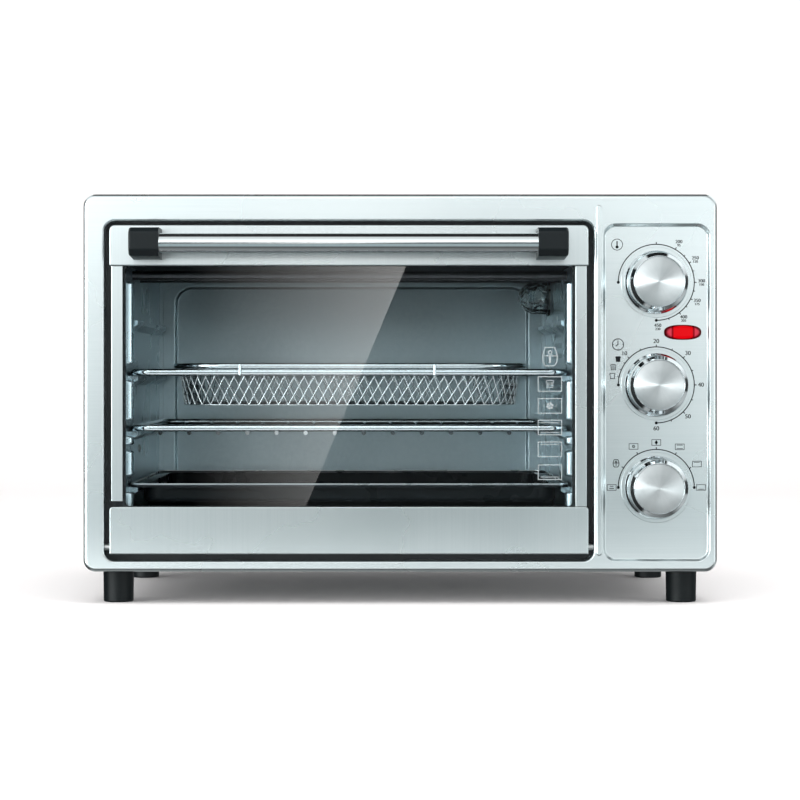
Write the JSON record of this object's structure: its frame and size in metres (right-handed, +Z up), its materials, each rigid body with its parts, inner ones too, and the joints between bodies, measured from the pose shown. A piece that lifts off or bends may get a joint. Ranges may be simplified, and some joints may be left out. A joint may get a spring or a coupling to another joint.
{
  "type": "toaster oven",
  "caption": "Countertop toaster oven with a drop-down glass door, three rotary controls, wire racks, an air-fry basket, trays, tube heaters and a side convection fan.",
  "frame": {"origin": "on the counter, under the middle of the oven's overall box", "axes": "+X to the right seen from the front, +Y towards the back, +Z up"},
  "size_m": [0.47, 0.378, 0.304],
  "materials": {
    "stainless_front": "fine brushed stainless sheet with a satin lacquer",
    "case_paint": "satin silver-grey baked enamel on sheet steel",
    "cavity_steel": "aluminised sheet steel, softly reflective",
    "black_paint": "heat-proof matt black",
    "chromed_wire": "bright chrome-plated steel rod",
    "basket_wire": "woven stainless wire mesh",
    "tray_enamel": "dark grey non-stick enamel, bright rolled lip",
    "aluminium_sheet": "mill-finish aluminium",
    "heater_sheath": "heat-tinted stainless tube",
    "insulator_ceramic": "unglazed steatite",
    "door_glass": "tempered float glass, polished",
    "lamp_glass": "moulded borosilicate glass with facets",
    "zinc_steel": "zinc-plated steel",
    "handle_steel": "polished stainless tube",
    "black_plastic": "fine-grained black heat-resistant plastic",
    "switch_plastic": "pale thermoset moulding",
    "knob_chrome": "bright chrome-plated moulding",
    "knob_aluminium": "spun circular brushing",
    "brass_spindle": "turned brass",
    "pilot_red": "clear red moulding, lit from behind",
    "neon_glass": "neon indicator tube",
    "motor_iron": "stacked electrical steel",
    "copper_winding": "enamelled copper winding"
  },
  "bodies": {
    "case": {"front_bezel": "stainless_front", "outer_shell": "case_paint", "base_panel": "case_paint", "rear_panel": "case_paint", "rear_spacers": "black_plastic", "cord_gland": "black_plastic", "feet": "black_plastic", "case_screws": "zinc_steel", "cavity_front_frame": "black_paint", "cavity_left_wall": "cavity_steel", "cavity_right_wall": "cavity_steel", "cavity_ceiling": "cavity_steel", "cavity_floor": "cavity_steel", "cavity_back_wall": "cavity_steel", "upper_heating_elements": "heater_sheath", "lower_heating_elements": "heater_sheath", "element_insulators": "insulator_ceramic", "lamp_lens": "lamp_glass", "lamp_bulb": "lamp_glass", "lamp_holder": "zinc_steel", "fan_housing": "zinc_steel", "motor_core": "motor_iron", "motor_coil": "copper_winding", "motor_bridges": "zinc_steel", "control_bracket": "zinc_steel", "thermostat": "zinc_steel", "timer": "switch_plastic", "function_switch": "switch_plastic", "timer_bell": "zinc_steel", "pilot_light_lens": "pilot_red", "pilot_light_lamp": "neon_glass", "hinge_brackets": "zinc_steel", "door_springs": "zinc_steel"},
    "door": {"door_top_rail": "stainless_front", "door_bottom_rail": "stainless_front", "door_side_strips": "stainless_front", "door_glass": "door_glass", "door_inner_frame": "black_paint", "door_screws": "zinc_steel", "handle_bar": "handle_steel", "handle_end_caps": "black_plastic", "hinge_pins": "zinc_steel", "door_stay_arms": "zinc_steel"},
    "fan": {"convection_fan": "aluminium_sheet", "fan_shaft": "zinc_steel"},
    "temperature_control": {"temperature_knob": "knob_chrome", "temperature_knob_face": "knob_aluminium", "temperature_spindle": "brass_spindle"},
    "timer_control": {"timer_knob": "knob_chrome", "timer_knob_face": "knob_aluminium", "timer_spindle": "brass_spindle"},
    "function_control": {"function_knob": "knob_chrome", "function_knob_face": "knob_aluminium", "function_spindle": "brass_spindle"},
    "upper_rack": {"basket_rack": "chromed_wire"},
    "basket": {"basket_rim": "chromed_wire", "basket_mesh": "basket_wire"},
    "lower_rack": {"lower_rack": "chromed_wire"},
    "drip_tray": {"drip_tray": "tray_enamel"},
    "crumb_tray": {"crumb_tray": "aluminium_sheet"}
  },
  "joints": [
    {"name": "door_hinge", "type": "hinge", "parent": "case", "child": "door", "pos_m": [-0.038, -0.15, 0.042], "axis": [1, 0, 0], "range_deg": [0, 90], "stiffness_Nm_per_rad": 0.6, "springref_deg": -22.92},
    {"name": "temperature_turn", "type": "hinge", "parent": "case", "child": "temperature_control", "pos_m": [0.19, -0.156, 0.2387], "axis": [0, 1, 0], "range_deg": [0, 270]},
    {"name": "timer_turn", "type": "hinge", "parent": "case", "child": "timer_control", "pos_m": [0.19, -0.156, 0.1626], "axis": [0, 1, 0], "range_deg": [0, 270]},
    {"name": "function_turn", "type": "hinge", "parent": "case", "child": "function_control", "pos_m": [0.19, -0.156, 0.0865], "axis": [0, 1, 0], "range_deg": [0, 180]},
    {"name": "fan_spin", "type": "hinge", "parent": "case", "child": "fan", "pos_m": [0.13, 0.009, 0.172], "axis": [1, 0, 0], "continuous": true},
    {"name": "upper_rack_slide", "type": "slide", "parent": "case", "child": "upper_rack", "axis": [0, -1, 0], "range_m": [0, 0.1002]},
    {"name": "lower_rack_slide", "type": "slide", "parent": "case", "child": "lower_rack", "axis": [0, -1, 0], "range_m": [0, 0.1002]},
    {"name": "drip_tray_slide", "type": "slide", "parent": "case", "child": "drip_tray", "axis": [0, -1, 0], "range_m": [0, 0.0502]},
    {"name": "crumb_tray_slide", "type": "slide", "parent": "case", "child": "crumb_tray", "axis": [0, -1, 0], "range_m": [0, 0.0202]},
    {"name": "basket_lift", "type": "slide", "parent": "upper_rack", "child": "basket", "axis": [0, 0, 1], "range_m": [0, 0.025]}
  ],
  "couplings": [
    {"joint": "upper_rack_slide", "follows": "door_hinge", "m_per_rad": 0.06366},
    {"joint": "lower_rack_slide", "follows": "door_hinge", "m_per_rad": 0.06366},
    {"joint": "drip_tray_slide", "follows": "door_hinge", "m_per_rad": 0.03183},
    {"joint": "crumb_tray_slide", "follows": "door_hinge", "m_per_rad": 0.01273}
  ]
}
